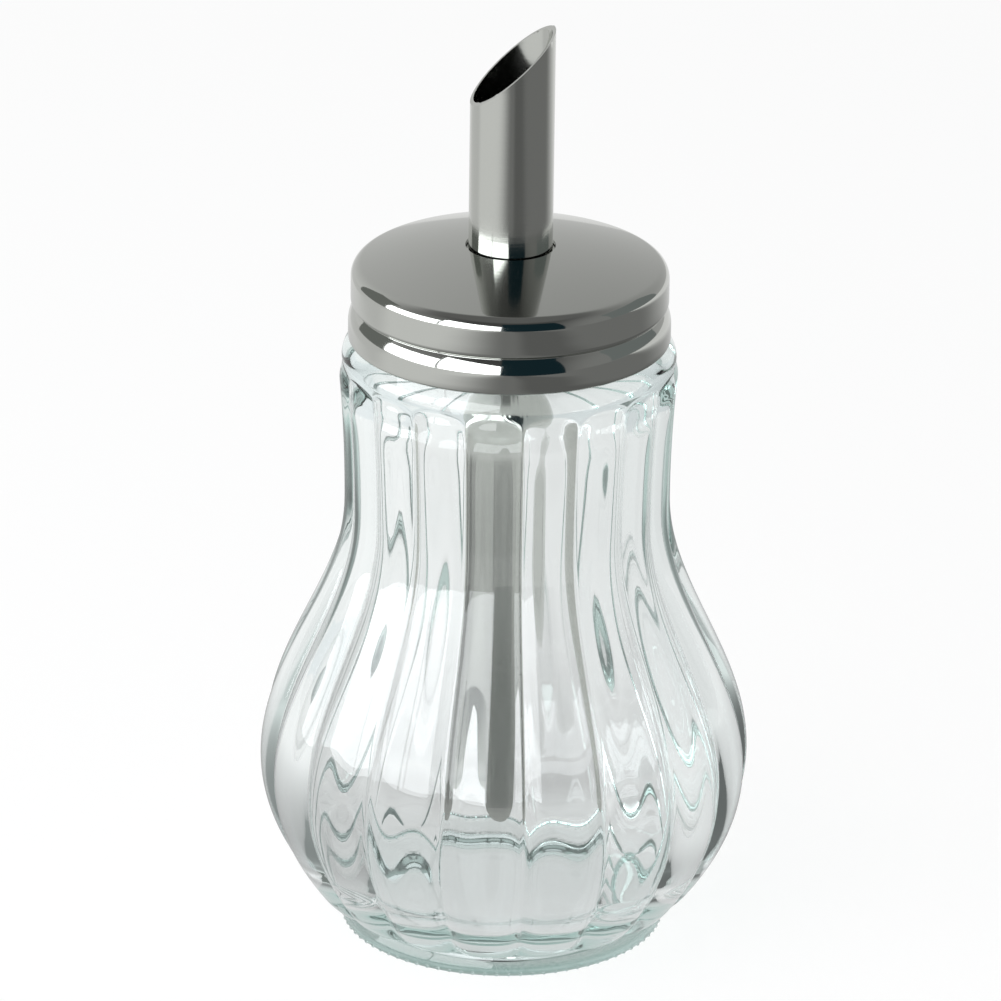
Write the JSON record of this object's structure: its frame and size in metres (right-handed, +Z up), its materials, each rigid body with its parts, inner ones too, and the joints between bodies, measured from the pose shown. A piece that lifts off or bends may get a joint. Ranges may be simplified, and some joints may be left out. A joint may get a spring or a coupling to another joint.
{
  "type": "sugar dispenser",
  "caption": "Empty fluted glass sugar dispenser with a pear-shaped body, a domed steel screw lid and a steel dosing tube with a slanted spout.",
  "frame": {"origin": "centre of the foot's underside, on the surface the dispenser stands on", "axes": "+Z up along the jar's axis, -X the way the slanted spout opens, so it pours towards -X"},
  "size_m": [0.0756, 0.0756, 0.1476],
  "materials": {
    "glass": "clear, fire-polished",
    "lid_steel": "polished",
    "tube_steel": "fine brushed"
  },
  "bodies": {
    "root": {"jar": "glass", "lid": "lid_steel", "tube": "tube_steel"}
  },
  "joints": []
}
